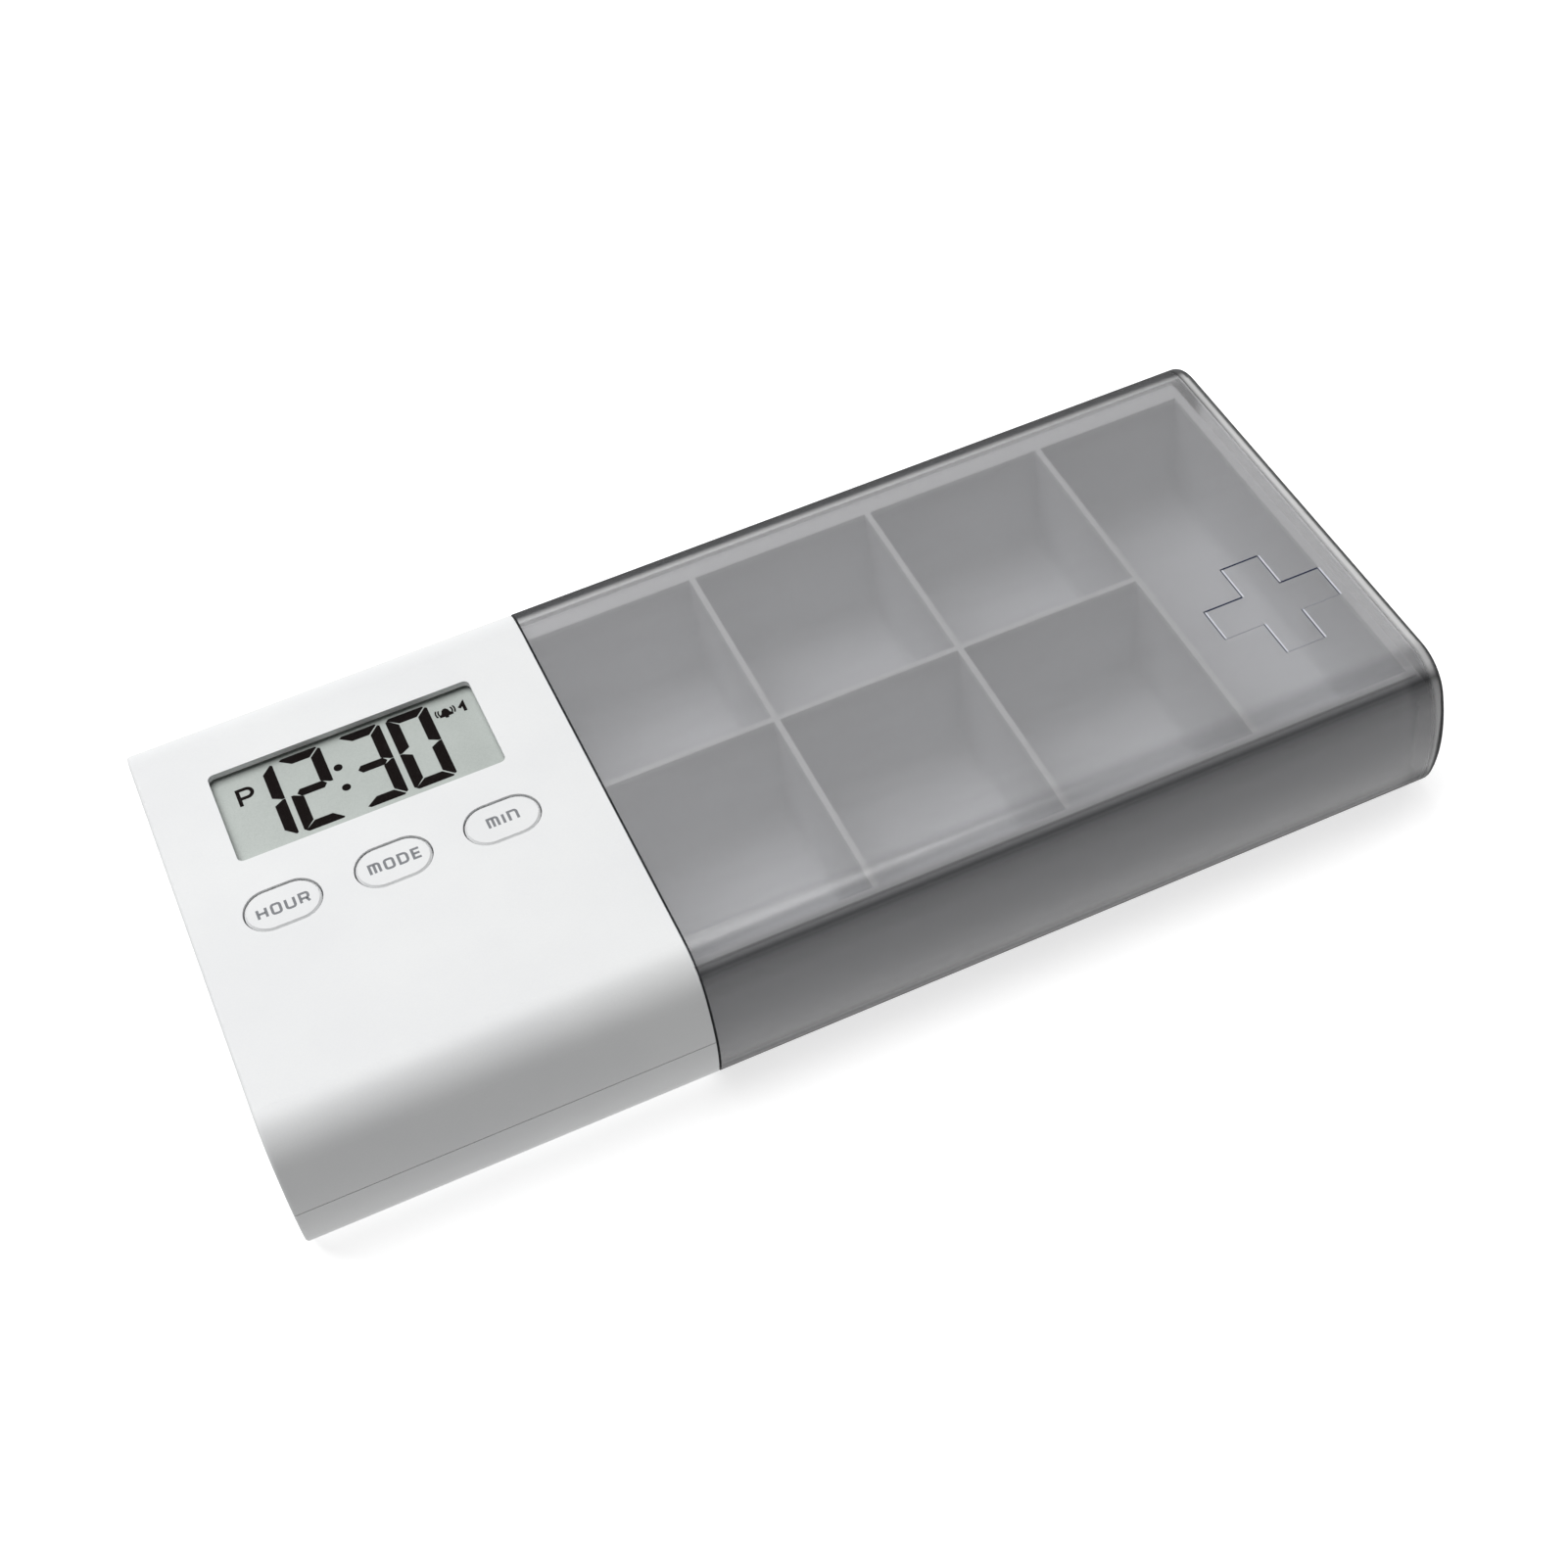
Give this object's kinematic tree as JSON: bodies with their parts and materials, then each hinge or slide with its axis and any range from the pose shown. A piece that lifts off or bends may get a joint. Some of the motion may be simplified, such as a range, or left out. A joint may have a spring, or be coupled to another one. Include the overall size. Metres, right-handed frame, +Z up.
{
  "type": "electronic pill box",
  "caption": "Electronic pill box with a clock display, three buttons and a tray of compartments under a see-through smoke sleeve that slides off",
  "frame": {"origin": "Middle of the box's length and width, on the table plane under the bottom face", "axes": "+X runs from the timer to the closed end of the smoke sleeve, +Y to the side of the display away from the buttons, +Z up"},
  "size_m": [0.15, 0.07, 0.023],
  "materials": {
    "shell_plastic": "fine satin light grey",
    "button_plastic": "fine satin light grey",
    "clear_plastic": "clear acrylic",
    "display_glass": "grey-green liquid crystal glass",
    "frame_plastic": "white",
    "contact_rubber": "layered conductive rubber",
    "board_laminate": "green solder mask",
    "chip_resin": "black resin drop",
    "crystal_can": "plated can",
    "capacitor_ceramic": "sintered ceramic",
    "switch_plastic": "black",
    "plunger_plastic": "dark grey",
    "buzzer_brass": "rolled brass",
    "lead_jacket": "red jacket",
    "cell_can": "printed jacket",
    "contact_steel": "nickel plated",
    "screw_steel": "zinc plated",
    "tray_plastic": "white, slightly cloudy",
    "smoke_plastic": "smoke grey, see-through"
  },
  "bodies": {
    "module": {"module_top_shell": "shell_plastic", "module_bottom_shell": "shell_plastic", "display_window": "clear_plastic", "display_glass": "display_glass", "display_frame": "frame_plastic", "display_contact_strip": "contact_rubber", "circuit_board": "board_laminate", "controller_chip": "chip_resin", "timing_crystal": "crystal_can", "chip_capacitors": "capacitor_ceramic", "hour_switch": "switch_plastic", "mode_switch": "switch_plastic", "min_switch": "switch_plastic", "buzzer_plate": "buzzer_brass", "buzzer_ceramic": "capacitor_ceramic", "buzzer_leads": "lead_jacket", "first_cell": "cell_can", "second_cell": "cell_can", "positive_terminal": "contact_steel", "negative_terminal": "contact_steel", "bridge_contact": "contact_steel", "case_screws": "screw_steel", "board_screws": "screw_steel", "pill_tray": "tray_plastic"},
    "sleeve": {"smoke_sleeve": "smoke_plastic"},
    "hour_key": {"hour_button": "button_plastic", "hour_plunger": "plunger_plastic"},
    "mode_key": {"mode_button": "button_plastic", "mode_plunger": "plunger_plastic"},
    "min_key": {"min_button": "button_plastic", "min_plunger": "plunger_plastic"},
    "door": {"battery_door": "shell_plastic"}
  },
  "joints": [
    {"name": "sleeve_slide", "type": "slide", "parent": "module", "child": "sleeve", "axis": [1, 0, 0], "range_m": [0, 0.1]},
    {"name": "hour_press", "type": "slide", "parent": "module", "child": "hour_key", "axis": [0, 0, -1], "range_m": [0, 0.0003], "stiffness_N_per_m": 5000},
    {"name": "mode_press", "type": "slide", "parent": "module", "child": "mode_key", "axis": [0, 0, -1], "range_m": [0, 0.0003], "stiffness_N_per_m": 5000},
    {"name": "min_press", "type": "slide", "parent": "module", "child": "min_key", "axis": [0, 0, -1], "range_m": [0, 0.0003], "stiffness_N_per_m": 5000},
    {"name": "door_slide", "type": "slide", "parent": "module", "child": "door", "axis": [-1, 0, 0], "range_m": [0, 0.028]}
  ]
}
